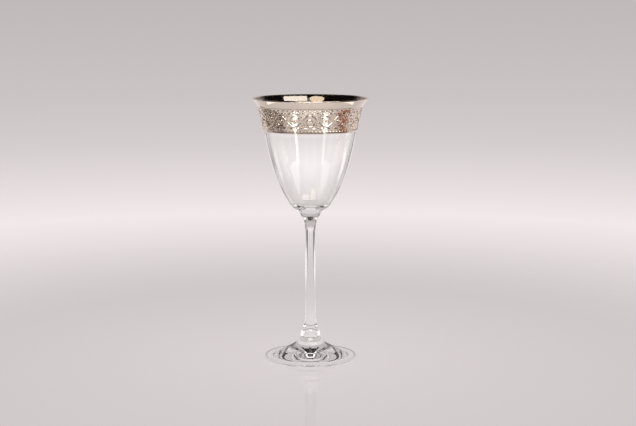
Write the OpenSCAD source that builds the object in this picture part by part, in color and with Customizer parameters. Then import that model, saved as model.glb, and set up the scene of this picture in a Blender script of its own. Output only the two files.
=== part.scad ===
// Stemmed white wine glass with a metal band round the lip.
// The origin is the centre of the foot where it stands, and +Z is the axis of the glass.

/* [Overall] */
// Height of the glass from the table to the top of the lip
height = 210; // [190:1:235]
// Height of the bowl above its joint with the stem
bowl_h = 91.8; // [80:0.1:105]

/* [Bowl] */
// Diameter across the lip
rim_d = 92.6; // [84:0.1:102]
// How far the round base of the bowl swells out from the joint
belly_out = 18.3; // [14:0.1:22]
// Fullness of the belly: a higher value makes the base rounder
belly_power = 3.5; // [3:0.1:6]
// Roundness of the bottom: a lower value makes it flatter at the joint
bottom_power = 0.69; // [0.6:0.01:1]
// How far the lip turns out past the line of the wall
lip_out = 4.9; // [3:0.1:7]
// Angle of the lip from the vertical
lip_angle = 48; // [40:1:58]
// Thickness of the wall
side_wall = 1.4; // [1:0.1:2.2]
// Thickness of the lip
lip_wall = 0.9; // [0.6:0.1:1.2]
// Length over which the wall thins towards the lip
thin_h = 28; // [15:1:40]
// Thickness of the glass under the inside of the bowl
floor_t = 4; // [2:0.1:5]
// Height over which the inside of the bottom rounds into the wall
floor_round = 4.5; // [2:0.1:8]

/* [Stem] */
// Diameter of the stem's head, where the bowl sits
head_d = 16.4; // [13:0.1:18]
// Length of the flare under the head
head_flare = 5.2; // [3:0.1:7]
// Diameter of the shank, measured at its upper end
shank_top_d = 6.8; // [5.5:0.1:8.5]
// Diameter of the shank, measured at its lower end
shank_low_d = 8.4; // [6.5:0.1:10]
// Diameter of the stem's base, where it sits on the foot
base_d = 15.6; // [13.5:0.1:18]
// Length of the flare above the base
base_flare = 7; // [5:0.1:10]

/* [Foot] */
// Diameter of the foot
foot_d = 74.4; // [66:0.1:84]
// Thickness of the foot's edge
edge_t = 2; // [1.4:0.1:3]
// Width of the flat brim
brim_w = 6; // [3:0.1:9]
// Slope of the cone
cone_angle = 26.5; // [20:0.5:32]
// How softly the cone runs out into the brim
brim_blend = 0.9; // [0.4:0.1:2]
// Rise of the throat above the cone
throat_h = 4.3; // [2:0.1:7]
// Length over which the throat runs out into the cone
throat_len = 1.9; // [1:0.1:3]
// Depth of the hollow under the foot
hollow_h = 2.6; // [1:0.1:4]
// Width of the flat ring that the foot stands on
rest_w = 4; // [2:0.1:6]

/* [Metal band] */
// Thickness of the metal layer
film_t = 0.12; // [0.1:0.01:0.2]
// Width of the line that wraps the lip, measured down each side
lip_line_w = 0.8; // [0.5:0.1:1.5]
// Height of the plain stripe
stripe_h = 4.9; // [3:0.1:8]
// Height of the upper line
upper_line_h = 0.8; // [0.5:0.1:1.5]
// Height of the frieze
frieze_h = 17.5; // [15:0.1:20]
// Height of the lower line
lower_line_h = 1.4; // [0.8:0.1:2.5]
// How far the two lines stand out from the layer
bead_t = 0.16; // [0.08:0.01:0.3]

/* [Scroll] */
// Length of one wave of the vine round the glass
wave_pitch = 24.4; // [22:0.1:28]
// Swing of the vine above and below the middle of the frieze
wave_swing = 5; // [4:0.1:5.6]
// Half width of the vine
vine_w = 0.42; // [0.25:0.01:0.5]
// Radius at which a tendril leaves the vine
tendril_r = 4.1; // [3.4:0.1:4.4]
// Radius at which a tendril ends
tendril_end_r = 1.9; // [1.6:0.1:2.2]
// Turns in a tendril
tendril_turns = 1.1; // [0.8:0.05:1.2]
// Half width of a tendril
tendril_w = 0.34; // [0.2:0.01:0.4]
// Height of the scroll above the frieze ground
relief_t = 0.45; // [0.2:0.01:0.6]
// How far the crests of the scroll lean down the bowl, as a share of their height
relief_lean = 0.9; // [0:0.1:1.2]
// Length of a leaf
leaf_l = 3.4; // [2.4:0.1:3.6]
// Half width of a leaf
leaf_w = 0.78; // [0.4:0.01:0.9]
// Length of a petal
petal_l = 1.1; // [0.6:0.1:1.2]
// Length of a berry
berry_d = 1; // [0.6:0.1:1.1]
// Petals in a bud
petals = 5; // [4:1:6]
// Length of a dash in the upper border of the frieze
dash_l = 2.6; // [1.6:0.1:3]
// Half width of a dash
dash_w = 0.5; // [0.2:0.01:0.6]
// Dashes above each tendril
dashes = 3; // [2:1:4]
// Length of a tip in the lower border of the frieze
tip_l = 2.1; // [1.4:0.1:2.5]
// Half width of a tip
tip_w = 0.42; // [0.2:0.01:0.5]
// Tips under each tendril
tips = 4; // [3:1:5]

/* [Hidden] */
$fn = 128;

GLASS = [0.86, 0.90, 0.92, 0.45];
BRIGHT_METAL = [0.80, 0.76, 0.70];
MATT_METAL = [0.66, 0.63, 0.58];

// How finely the outlines are drawn, and how far their points bunch up where a curve is tight
belly_steps = 40;
wall_steps = 40;
floor_steps = 20;
frieze_steps = 14;
stripe_steps = 12;
line_steps = 6;
lip_steps = 3;
edge_steps = 12;
stem_steps = 72;
top_steps = 48;
hollow_steps = 24;
bunching = 1.7;

// Levels and radii that pieces share
bowl_z = height - bowl_h;
lip_z = height - film_t - lip_wall / 2 * (1 + sin(lip_angle));
lip_r = rim_d / 2 - film_t - lip_wall / 2 * (1 - cos(lip_angle));
wall_h = lip_z - bowl_z;
foot_r = foot_d / 2;
cone_r = foot_r - brim_w;
stem_z = foot_z(base_d / 2);
stem_h = bowl_z - stem_z;

// The band, from the lip down
stripe_top = lip_z - lip_line_w * cos(lip_angle);
stripe_z = stripe_top - stripe_h;
frieze_top = stripe_z - upper_line_h;
frieze_z = frieze_top - frieze_h;
band_z = frieze_z - lower_line_h;

// Even steps from a to b, without b
function steps(a, b, n) = [for (i = [0:n - 1]) a + (b - a) * i / n];
function reversed(list) = [for (i = [len(list) - 1:-1:0]) list[i]];

// Outside of the bowl: a round belly, a leaning wall and a lip that turns out
wall_lean = lip_r - lip_out - belly_out - head_d / 2;
lip_len = lip_out / (tan(lip_angle) - wall_lean / wall_h);
function belly(u) = belly_out * pow(1 - pow(1 - u, belly_power), bottom_power);
function lip_turn(z) = lip_out * exp((z - lip_z) / lip_len);
function bowl_r(z) =
    let (u = (z - bowl_z) / wall_h)
    head_d / 2 + belly(u) + wall_lean * u + lip_turn(z) - lip_turn(bowl_z) * (1 - u);
slope_step = 0.01;
function bowl_lean(z) = atan((bowl_r(z) - bowl_r(z - slope_step)) / slope_step);
function wall_t(z) = lip_wall + (side_wall - lip_wall) * min(1, (lip_z - z) / thin_h);
function wall_point(z, inward) =
    let (a = bowl_lean(z))
    [bowl_r(z) - inward * cos(a), z + inward * sin(a)];

// Heights at which the outside of the bowl is drawn, closer together at the bottom and the lip
belly_levels = [
    for (t = steps(0, 1, belly_steps))
        bowl_z + (band_z - bowl_z) * pow(t, bunching)
];
lower_levels = steps(band_z, frieze_z, line_steps);
frieze_levels = steps(frieze_z, frieze_top, frieze_steps);
upper_levels = steps(frieze_top, stripe_z, line_steps);
stripe_levels = steps(stripe_z, stripe_top, stripe_steps);
lip_levels = steps(stripe_top, lip_z, lip_steps);
outer_levels = concat(belly_levels, lower_levels, frieze_levels, upper_levels, stripe_levels, lip_levels);

// Inside of the bowl: a round floor that runs into the wall
floor_z = bowl_z + floor_t;
round_top = floor_z + floor_round;
inner_floor = [
    for (i = [0:floor_steps - 1])
        let (a = 90 * i / floor_steps, z = floor_z + floor_round * (1 - cos(a)))
        [(bowl_r(z) - wall_t(z) / cos(bowl_lean(z))) * sin(a), z]
];
inner_wall = [
    for (z = concat(steps(round_top, stripe_top, wall_steps), lip_levels))
        wall_point(z, wall_t(z))
];

// Round edge of the lip, thickened by the metal layer where it is drawn for that
lip_mid = [lip_r, lip_z] + lip_wall / 2 * [-cos(lip_angle), sin(lip_angle)];
function lip_edge(extra) = [
    for (i = [0:edge_steps])
        let (a = -lip_angle + 180 * i / edge_steps)
        lip_mid + (lip_wall / 2 + extra) * [cos(a), sin(a)]
];

module bowl() {
    outline = concat(
        inner_floor,
        inner_wall,
        reversed(lip_edge(0)),
        reversed([for (z = outer_levels) [bowl_r(z), z]]),
        [[0, bowl_z]]
    );
    color(GLASS) rotate_extrude() polygon(outline);
}

// Flare that is full at its end and dies away along the stem, faster for a higher power
head_power = 2;
base_power = 2.6;
function flare(distance, length, power) = 1 / (1 + pow(distance / length, power));
function shank_r(z) = (shank_low_d + (shank_top_d - shank_low_d) * (z - stem_z) / stem_h) / 2;
function stem_r(z) =
    shank_r(z)
    + (head_d - shank_top_d) / 2 * flare(bowl_z - z, head_flare, head_power)
    + (base_d - shank_low_d) / 2 * flare(z - stem_z, base_flare, base_power);

module stem() {
    levels = [for (i = [0:stem_steps]) stem_z + stem_h * (1 - cos(180 * i / stem_steps)) / 2];
    outline = concat([[0, stem_z]], [for (z = levels) [stem_r(z), z]], [[0, bowl_z]]);
    color(GLASS) rotate_extrude() polygon(outline);
}

// Top of the foot: a flat brim, a cone and a throat that rises to the stem
function cone_h(r) = tan(cone_angle) * (cone_r - r);
function foot_z(r) =
    edge_t + (cone_h(r) + sqrt(pow(cone_h(r), 2) + pow(brim_blend, 2))) / 2
    + throat_h * exp((base_d / 2 - r) / throat_len);
rest_r = foot_r - edge_t / 2;
hollow_r = rest_r - rest_w;

module foot() {
    hollow = [
        for (r = steps(0, hollow_r, hollow_steps))
            [r, hollow_h * (1 - pow(r / hollow_r, 2))]
    ];
    edge_top = foot_z(rest_r);
    edge = [
        for (i = [0:edge_steps])
            let (a = -90 + 180 * i / edge_steps)
            [rest_r + edge_t / 2 * cos(a), edge_top / 2 * (1 + sin(a))]
    ];
    top = [
        for (i = [1:top_steps])
            let (r = base_d / 2 + (rest_r - base_d / 2) * pow(1 - i / top_steps, bunching))
            [r, foot_z(r)]
    ];
    outline = concat(hollow, [[hollow_r, 0]], edge, top, [[0, stem_z]]);
    color(GLASS) rotate_extrude() polygon(outline);
}

// Layer of metal on the outside of the bowl, with a rounded bead where one is given
module layer(levels, bead = 0) {
    low = levels[0];
    high = levels[len(levels) - 1];
    outside = [
        for (z = levels)
            [bowl_r(z) + film_t + bead * sin(180 * (z - low) / (high - low)), z]
    ];
    inside = [for (z = levels) [bowl_r(z), z]];
    rotate_extrude() polygon(concat(outside, reversed(inside)));
}

module lip_line() {
    outside = [for (z = lip_levels) [bowl_r(z) + film_t, z]];
    inside = [for (z = lip_levels) [bowl_r(z), z]];
    cup = [for (z = lip_levels) wall_point(z, wall_t(z))];
    cup_face = [for (z = lip_levels) wall_point(z, wall_t(z) + film_t)];
    outline = concat(
        outside, lip_edge(film_t), reversed(cup_face),
        cup, reversed(lip_edge(0)), reversed(inside)
    );
    color(BRIGHT_METAL) rotate_extrude() polygon(outline);
}

module rim_band() {
    color(BRIGHT_METAL) layer(concat(stripe_levels, [stripe_top]));
}

module upper_line() {
    color(BRIGHT_METAL) layer(concat(upper_levels, [stripe_z]), bead_t);
}

module frieze_ground() {
    color(MATT_METAL) layer(concat(frieze_levels, [frieze_top]));
}

module lower_line() {
    color(BRIGHT_METAL) layer(concat(lower_levels, [frieze_z]), bead_t);
}

// The scroll is drawn flat on a panel, in millimetres along and above the middle of the frieze.
// It is then stretched to the height of the frieze and bent on to the bowl.
// Each raised shape is a ridge: stations of [along, up, half width], with a point at either end.
panel_h = 20;
frieze_mid = (frieze_z + frieze_top) / 2;
round_length = 2 * PI * bowl_r(frieze_mid);
waves = round(round_length / wave_pitch);
wave_l = round_length / waves;

function on_frieze(p, out) =
    let (
        z = frieze_mid + (p.y - relief_lean * out) * frieze_h / panel_h,
        r = bowl_r(z) + film_t + out,
        a = 360 * p.x / round_length
    )
    [r * sin(a), -r * cos(a), z];
function unit(v) = v / norm(v);
function across(path, i) =
    let (d = unit(path[i + 1] - path[i - 1]))
    [-d.y, d.x];

// Points of a ridge: its two tips, then left foot, crest and right foot of each station between
function ridge_points(stations) =
    let (path = [for (s = stations) [s.x, s.y]], last = len(path) - 1)
    concat(
        [on_frieze(path[0], 0), on_frieze(path[last], 0)],
        [
            for (i = [1:last - 1])
                let (side = across(path, i) * stations[i][2])
                each [
                    on_frieze(path[i] + side, 0),
                    on_frieze(path[i], relief_t),
                    on_frieze(path[i] - side, 0)
                ]
        ]
    );
function ridge_faces(count) =
    let (end = 3 * count - 7)
    concat(
        [for (k = [0:2]) [0, 2 + k, 2 + (k + 1) % 3]],
        [
            for (i = [0:count - 4], k = [0:2])
                let (a = 2 + 3 * i + k, b = 2 + 3 * i + (k + 1) % 3)
                each [[a, a + 3, b], [b, a + 3, b + 3]]
        ],
        [for (k = [0:2]) [1, end + (k + 1) % 3, end + k]]
    );

// Shapes of one half wave, drawn about the middle of its tendril.
// The vine arches over the tendril where turn is 1, and under it where turn is -1.
vine_steps = 12;
vine_gap = 0.5;
vine_tip = 0.4;
function vine_up(x) = wave_swing * cos(360 * x / wave_l);
function vine(turn) = [
    for (i = [0:vine_steps])
        let (t = i / vine_steps, x = (wave_l / 2 - vine_gap) * (t - 0.5))
        [x, turn * vine_up(x), vine_w * (vine_tip + sin(180 * t))]
];

tendril_steps = 14;
tendril_start = 20;
tendril_drop = 0.9;
tendril_swell = 1.2;
tendril_taper = 0.5;
function tendril(turn) = [
    for (i = [0:tendril_steps])
        let (
            t = i / tendril_steps,
            r = tendril_r + (tendril_end_r - tendril_r) * t,
            a = tendril_start - 360 * tendril_turns * t
        )
        [r * cos(a), turn * (r * sin(a) - tendril_drop), tendril_w * (tendril_swell - tendril_taper * t)]
];

// Where a leaf starts, on the right of its tendril, and the way it points: two stand on the vine,
// one stands between the vine and the next tendril, and one hangs under the tendril
leaf_spots = [
    [[0.8, vine_up(0.8) + 1.05], 10],
    [[4.9, vine_up(4.9) + 3.3], 76],
    [[6.4, vine_up(6.4) + 2.2], 64],
    [[1.5, -tendril_drop - tendril_r - 1.4], -6]
];
leaf_bend = 24;

// Pointed shape that serves for leaves and for both borders
blade_steps = 4;
blade_fullness = 0.8;
function blade(at, angle, length, half_width, bend = 0) = [
    for (i = [0:blade_steps])
        let (t = i / blade_steps, a = angle + bend * (t - 0.5))
        [
            at.x + length * t * cos(a),
            at.y + length * t * sin(a),
            half_width * pow(sin(180 * t), blade_fullness)
        ]
];
function leaf(at, angle, side, turn) = [
    for (s = blade(at, angle, leaf_l, leaf_w, leaf_bend))
        [side * s.x, turn * s.y, s[2]]
];

// Berries above the vine and below the tendril
berry_gap = 2.5;
berry_spots = [wave_swing + berry_gap, -tendril_drop - tendril_r - berry_gap];
function berry(up, turn) = [
    for (t = [-0.5, 0, 0.5])
        [berry_d * t, turn * up, berry_d / 2]
];

// Bud of petals in the eye of the tendril
bud_hole = 0.25;
petal_w = 0.33;
function petal(angle, turn) = [
    for (t = [0, 0.5, 1])
        let (r = bud_hole + petal_l * t)
        [r * cos(angle), turn * (r * sin(angle) - tendril_drop), petal_w]
];

// Borders: a row of dashes above the scroll, and a row of slanting tips below it
border_up = 9.2;
tip_foot = -9.7;
tip_lean = 34;
function border_x(k, count) = wave_l / 2 * ((k + 0.5) / count - 0.5);
function dash(k) = blade([border_x(k, dashes) - dash_l / 2, border_up], 0, dash_l, dash_w);
function tip(k) = blade([border_x(k, tips) - tip_l * cos(tip_lean) / 2, tip_foot], tip_lean, tip_l, tip_w);

function half_wave(turn) = concat(
    [vine(turn), tendril(turn)],
    [for (spot = leaf_spots, side = [1, -1]) leaf(spot[0], spot[1], side, turn)],
    [for (up = berry_spots) berry(up, turn)],
    [for (k = [0:petals - 1]) petal(90 + 360 * k / petals, turn)],
    [for (k = [0:dashes - 1]) dash(k)],
    [for (k = [0:tips - 1]) tip(k)]
);
ridges = [
    for (k = [0:2 * waves - 1], stations = half_wave(k % 2 == 0 ? 1 : -1))
        [for (s = stations) s + [k * wave_l / 2, 0, 0]]
];

module frieze_scroll() {
    sizes = [for (s = ridges) 3 * len(s) - 4];
    starts = [for (i = 0, sum = 0; i < len(sizes); sum = sum + sizes[i], i = i + 1) sum];
    points = [for (s = ridges) each ridge_points(s)];
    faces = [
        for (i = [0:len(ridges) - 1], f = ridge_faces(len(ridges[i])))
            [for (v = f) v + starts[i]]
    ];
    color(BRIGHT_METAL) polyhedron(points, faces);
}

bowl();
stem();
foot();
lip_line();
rim_band();
upper_line();
frieze_ground();
frieze_scroll();
lower_line();
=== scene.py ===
# %% [markdown]
# # A stemmed white wine glass with a platinum band
#
# The glass is blown and drawn from three gathers of clear glass: a tulip bowl with a turned-out lip,
# a slim stem and a cone foot. A decorator then paints the top of the bowl with platinum and fires it.
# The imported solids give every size. Here each of them gets a finer mesh and its finish, because clear
# glass and polished metal show every flat facet.

# %% Load the frame
from math import atan, cos, exp, pi, radians, sin, sqrt, tan

import bpy
import numpy as np
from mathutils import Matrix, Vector


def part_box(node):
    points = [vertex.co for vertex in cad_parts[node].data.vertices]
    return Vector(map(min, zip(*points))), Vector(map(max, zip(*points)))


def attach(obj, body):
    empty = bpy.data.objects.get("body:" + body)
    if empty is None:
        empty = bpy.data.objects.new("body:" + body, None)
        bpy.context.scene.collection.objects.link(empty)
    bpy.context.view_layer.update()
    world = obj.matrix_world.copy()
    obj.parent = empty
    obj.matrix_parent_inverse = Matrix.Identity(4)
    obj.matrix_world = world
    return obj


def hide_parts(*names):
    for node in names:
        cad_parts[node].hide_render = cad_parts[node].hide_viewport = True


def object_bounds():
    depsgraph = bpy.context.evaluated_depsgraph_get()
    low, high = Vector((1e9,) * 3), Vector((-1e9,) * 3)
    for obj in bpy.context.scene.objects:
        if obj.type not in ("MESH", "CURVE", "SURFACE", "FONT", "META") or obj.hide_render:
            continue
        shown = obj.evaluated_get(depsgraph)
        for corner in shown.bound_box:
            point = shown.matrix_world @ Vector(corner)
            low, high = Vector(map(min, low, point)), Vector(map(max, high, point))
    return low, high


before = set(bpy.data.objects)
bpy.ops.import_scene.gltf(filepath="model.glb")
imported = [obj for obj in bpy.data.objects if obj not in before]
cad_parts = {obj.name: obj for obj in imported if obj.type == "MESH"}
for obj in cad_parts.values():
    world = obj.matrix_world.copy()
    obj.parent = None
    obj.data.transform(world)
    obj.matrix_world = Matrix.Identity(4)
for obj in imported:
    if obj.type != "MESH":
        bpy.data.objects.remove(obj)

MM = 0.001
cad_low, cad_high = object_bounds()
print("solids:", sorted(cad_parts), "height", round(cad_high.z / MM, 2), "mm")

# %% [markdown]
# ## The camera
#
# The picture was taken from a little above the lip with a long lens. The height, distance and tilt were
# found by fitting the ellipses of the lip and the foot. A long lens keeps those two ellipses nearly
# alike, which is why the camera stands more than a metre away.

# %% Camera
IMAGE_W = 636
FOCAL_PX = 1526
SENSOR_W = 36
TILT = radians(8.06)
CAMERA_AT = Vector((6.1, -1211.3, 289.2)) * MM

camera_data = bpy.data.cameras.new("camera")
camera_data.sensor_width = SENSOR_W
camera_data.lens = SENSOR_W * FOCAL_PX / IMAGE_W
camera = bpy.data.objects.new("camera", camera_data)
camera.location = CAMERA_AT
camera.rotation_euler = (pi / 2 - TILT, 0, 0)
bpy.context.scene.collection.objects.link(camera)
bpy.context.scene.camera = camera
bpy.context.scene.view_settings.view_transform = "Standard"
print("lens", round(camera_data.lens, 1), "mm")

# %% [markdown]
# ## Shader sums
#
# A finish is a small network of nodes. Wired by hand in the editor, sums of masks soon fill the screen.
# A small class that stands for one socket lets the same sums be written as Python expressions, and one
# method makes every other node, so each finish below reads from top to bottom.

# %% Socket sums
class Socket:
    """An output of a node. Arithmetic on it adds Math nodes."""

    def __init__(self, shader, socket):
        self.shader = shader
        self.socket = socket

    def output(self, name):
        return Socket(self.shader, self.socket.node.outputs[name])

    def math(self, operation, first, second):
        return self.shader.node("Math", {"operation": operation}, {0: first, 1: second})

    def __add__(self, other):
        return self.math("ADD", self, other)

    def __radd__(self, other):
        return self.math("ADD", other, self)

    def __sub__(self, other):
        return self.math("SUBTRACT", self, other)

    def __rsub__(self, other):
        return self.math("SUBTRACT", other, self)

    def __mul__(self, other):
        return self.math("MULTIPLY", self, other)

    def __rmul__(self, other):
        return self.math("MULTIPLY", other, self)

    def __truediv__(self, other):
        return self.math("DIVIDE", self, other)

    def __rtruediv__(self, other):
        return self.math("DIVIDE", other, self)

    def __pow__(self, other):
        return self.math("POWER", self, other)

    def __rpow__(self, other):
        return self.math("POWER", other, self)


print("sockets take + - * / and **")

# %% Node trees
class Shader:
    """A node tree that is filled from code."""

    def __init__(self, tree):
        tree.nodes.clear()
        self.tree = tree

    def node(self, kind, settings=None, inputs=None, output=0):
        made = self.tree.nodes.new("ShaderNode" + kind)
        for name, value in (settings or {}).items():
            if name == "stops":
                self.set_stops(made.color_ramp.elements, value)
            else:
                setattr(made, name, value)
        for name, value in (inputs or {}).items():
            if isinstance(value, Socket):
                self.tree.links.new(value.socket, made.inputs[name])
            else:
                made.inputs[name].default_value = value
        return Socket(self, made.outputs[output]) if made.outputs else made

    @staticmethod
    def set_stops(elements, stops):
        while len(elements) < len(stops):
            elements.new(1.0)
        for element, (place, colour) in zip(elements, stops):
            element.position = place
            element.color = (*colour, 1.0)

    def mix_colour(self, factor, first, second):
        return self.node("Mix", {"data_type": "RGBA"}, {0: factor, 6: first, 7: second}, 2)

    def scaled(self, vector, scale):
        return self.node("VectorMath", {"operation": "MULTIPLY"}, {0: vector, 1: scale})

    def length(self, vector):
        return self.node("VectorMath", {"operation": "LENGTH"}, {0: vector}, "Value")

    def stretched(self, scale):
        """Place on the object, stretched along each axis."""
        return self.scaled(self.node("TexCoord", output="Object"), scale)

    def ease(self, value, start, end):
        """Soft step from nought at start to one at end."""
        return self.node("MapRange", {"interpolation_type": "SMOOTHSTEP"},
                         {"Value": value, "From Min": start, "From Max": end})


def new_finish(name):
    material = bpy.data.materials.new(name)
    material.use_nodes = True
    return material, Shader(material.node_tree)


print("node trees can be filled")

# %% [markdown]
# ## Table and light
#
# Clear glass has no colour of its own: it shows what is behind it, and metal shows what is in front. So
# the surroundings are part of the finish. Light is also thrown to and fro inside a thick foot many
# times before it comes out. The usual limits can cut it off there and leave dark specks, so paths may
# bounce more often.

# %% Bounces
GLASS_BOUNCES = 32
paths = bpy.context.scene.cycles
paths.max_bounces = GLASS_BOUNCES
paths.glossy_bounces = GLASS_BOUNCES
paths.transmission_bounces = GLASS_BOUNCES
paths.transparent_max_bounces = GLASS_BOUNCES
print("paths may bounce", GLASS_BOUNCES, "times")

# %% [markdown]
# The glass stands on a pale glossy table in front of a soft pool of light. The table is one flat sheet
# whose tone swells in a wide ring round the glass, so the background is alike from every side. A curved
# backdrop with lamps would do as well, but a colour ramp over the distance from the axis can be set
# tone by tone. For light that has come through glass the ring lies further out.

# %% Tone of the table
TABLE_TINT = (1.0, 0.925, 0.925)
TABLE_TONES = [
    (0.00, 0.83), (0.26, 0.71), (0.40, 0.76), (0.50, 0.888),
    (0.60, 0.770), (0.69, 0.665), (0.80, 0.597), (1.00, 0.525),
]
GLOW_RING_R = 0.83
GLASS_RING_R = 1.43


def table_tone(shader, out, through):
    """Colour of the table at a distance out from the axis."""
    ring = out / (out + GLOW_RING_R + (GLASS_RING_R - GLOW_RING_R) * through)
    stops = [(place, (level, level, level)) for place, level in TABLE_TONES]
    tone = shader.node("ValToRGB", {"stops": stops}, {"Fac": ring})
    return shader.node("Mix", {"data_type": "RGBA", "blend_type": "MULTIPLY"},
                       {0: 1.0, 6: tone, 7: (*TABLE_TINT, 1.0)}, 2)


print("the table has", len(TABLE_TONES), "tones, brightest", GLOW_RING_R, "m from the glass")

# %% [markdown]
# Three more tones are for one kind of ray alone. Metal sees a dark table in front of it, which deepens
# its reflections. Glass shows a painted pool of light far behind, and a painted contact shadow: a dark
# ring where the foot rests. Each is a mask between nought and one, multiplied by the kind of ray that
# Light Path reports.

# %% Tones for metal and glass
DARK_ROOM = (0.06, 0.05, 0.047)
DARK_TURN = (0.45, -0.15)
DARK_AWAY = (0.30, 1.0)
# Painted pool of light: a bright oval on the table far behind the glass, seen only through glass
LIGHT_PATCH_TONE = (1.2, 1.15, 1.15)
PATCH_AT = (0, 1.4, 0)
PATCH_R = 0.7
PATCH_WIDTH = 0.36
PATCH_SHARE = 0.4
# Painted contact shadow: a thin dark ring on the table round the rest of the foot, seen through glass
CONTACT_SHADOW_TONE = (0.25, 0.23, 0.23)
CONTACT_IN = (0.034, 0.0365)
CONTACT_OUT = (0.043, 0.0385)
CONTACT_SHADOW_SHARE = 0.85


def dark_front(shader, flat, out, mirrored):
    toward_back = shader.node("SeparateXYZ", None, {"Vector": flat}, "Y") / out
    return mirrored * shader.ease(toward_back, *DARK_TURN) * shader.ease(out, *DARK_AWAY)


# Painted light on the table, brightest in the middle of the oval
def painted_light_patch(shader, flat, through):
    squeezed = shader.scaled(flat, (1 / PATCH_WIDTH, 1, 0))
    aside = shader.node("VectorMath", {"operation": "DISTANCE"}, {0: squeezed, 1: PATCH_AT}, "Value")
    return PATCH_SHARE * through * shader.ease(aside, PATCH_R, 0)


# Painted shadow where the foot meets the table, for rays through glass alone
def painted_contact_shadow(shader, out, through):
    return CONTACT_SHADOW_SHARE * through * shader.ease(out, *CONTACT_IN) * shader.ease(out, *CONTACT_OUT)


print("contact ring", CONTACT_IN[1] / MM, "to", CONTACT_OUT[1] / MM, "mm from the axis")

# %% [markdown]
# Near the glass the soft light of the room falls on the table, and it keeps a shadow. Further out it
# glows by itself, for rays from the camera, from mirrors and through glass. So the background has the
# tone that is written above, and the glow lights no matt surface. Lamps on a plain table would need to
# be balanced against each other for the same tones.

# %% Table
TABLE_HALF = 300.0
TABLE_ROUGH = 0.03
GLOW_FROM = (0.30, 0.62)
# Near the glass the table still glows in part, and seen through glass almost wholly: painted light that
# weakens its shadow, most of all under the foot
NEAR_GLOW = 0.40
GLASS_NEAR_GLOW = 0.86
GLASS_NEAR = (0.25, 0.05)


def seen_directly(shader):
    """One for rays from the camera, from a mirror or through glass, and nought for soft light."""
    path = shader.node("LightPath", output="Is Camera Ray")
    seen = path + path.output("Is Glossy Ray") + path.output("Is Transmission Ray")
    return shader.node("Math", {"operation": "MINIMUM"}, {0: seen, 1: 1.0})


def make_table_top():
    material, shader = new_finish("table_top")
    flat = shader.scaled(shader.node("NewGeometry", output="Position"), (1, 1, 0))
    out = shader.length(flat)
    path = shader.node("LightPath", output="Is Glossy Ray")
    through = path.output("Is Transmission Ray")
    mirrored = path * (1 - through)
    colour = table_tone(shader, out, through)
    colour = shader.mix_colour(dark_front(shader, flat, out, mirrored), colour, (*DARK_ROOM, 1.0))
    # Painted pool of light far behind the glass, for rays through glass alone
    colour = shader.mix_colour(painted_light_patch(shader, flat, through), colour, (*LIGHT_PATCH_TONE, 1.0))
    # Painted contact shadow round the foot, seen only through glass
    colour = shader.mix_colour(painted_contact_shadow(shader, out, through), colour, (*CONTACT_SHADOW_TONE, 1.0))
    lit = shader.node("BsdfPrincipled", None, {"Base Color": colour, "Roughness": TABLE_ROUGH})
    glow = shader.node("Emission", None, {"Color": colour, "Strength": 1.0})
    far = shader.ease(out, *GLOW_FROM)
    near = NEAR_GLOW + (GLASS_NEAR_GLOW - NEAR_GLOW) * through * shader.ease(out, *GLASS_NEAR)
    share = (near + (1 - near) * far) * seen_directly(shader)
    surface = shader.node("MixShader", None, {0: share, 1: lit, 2: glow})
    shader.node("OutputMaterial", None, {"Surface": surface})
    return material


def make_table():
    mesh = bpy.data.meshes.new("table")
    s = TABLE_HALF
    mesh.from_pydata([(-s, -s, 0), (s, -s, 0), (s, s, 0), (-s, s, 0)], [], [(0, 1, 2, 3)])
    table = bpy.data.objects.new("table", mesh)
    bpy.context.scene.collection.objects.link(table)
    mesh.materials.append(make_table_top())
    return table


table = make_table()
print("table", table.dimensions[:])

# %% [markdown]
# The room above is dark, so the mirror inside the lip stays nearly black. Soft light comes evenly from
# all round, but only for matt surfaces. Mirrors see a pale horizon that fades into the dark ceiling,
# at once in front and higher up behind the glass. The thick glass of the foot looks further up, so for
# light that has come through glass each of the four walls has a pale arch in its middle. Narrow dark
# posts bar the back half of the room, and the foot bends them into its thin dark arcs. Walls and posts
# could be modelled, but as sums in the world shader they can be set for each kind of ray.

# %% Walls and posts
METAL_FADE = (-0.1, 0.1)
BEHIND_FADE = (0.4, 0.8)
BEHIND = (0.2, 0.6)
GLASS_FADE = (2.2, 3.0)
SIDE_ARCH = 0.7
ARCH_POWER = 5.5
POSTS = 30
POST_EDGE = (0.4, 0.8)
POST_FOOT = (0.2, 0.3)
POST_BACK = (0.0, 0.2)


def ceiling_share(shader, up, flat, reach, through):
    """Nought at the horizon and one where the walls have faded into the ceiling."""
    behind = shader.ease(up.output("Y") / reach, *BEHIND)
    sides = shader.node("VectorMath", {"operation": "ABSOLUTE"}, {0: flat})
    side_x = shader.node("SeparateXYZ", None, {"Vector": sides}, "X")
    middle = side_x.math("MAXIMUM", side_x * SIDE_ARCH, side_x.output("Y")) / reach
    arch = 1 + through * (middle ** ARCH_POWER - 1)
    metal = [m + behind * (b - m) for m, b in zip(METAL_FADE, BEHIND_FADE)]
    start, end = [m + through * (g - m) for m, g in zip(metal, GLASS_FADE)]
    return shader.ease(up / reach / arch, start, end)


def post_share(shader, up, reach):
    turn = up.math("ARCTAN2", up.output("X"), up.output("Y"))
    wave = shader.node("Math", {"operation": "COSINE"}, {0: turn * POSTS})
    back = shader.ease(up.output("Y") / reach, *POST_BACK)
    return shader.ease(wave, *POST_EDGE) * shader.ease(up / reach, *POST_FOOT) * back


print("posts stand", 360 / POSTS, "degrees apart")

# %% Room
SKY_SOFT = 0.86
HORIZON = (0.525, 0.486, 0.486)
CEILING = (0.012, 0.009, 0.008)


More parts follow.
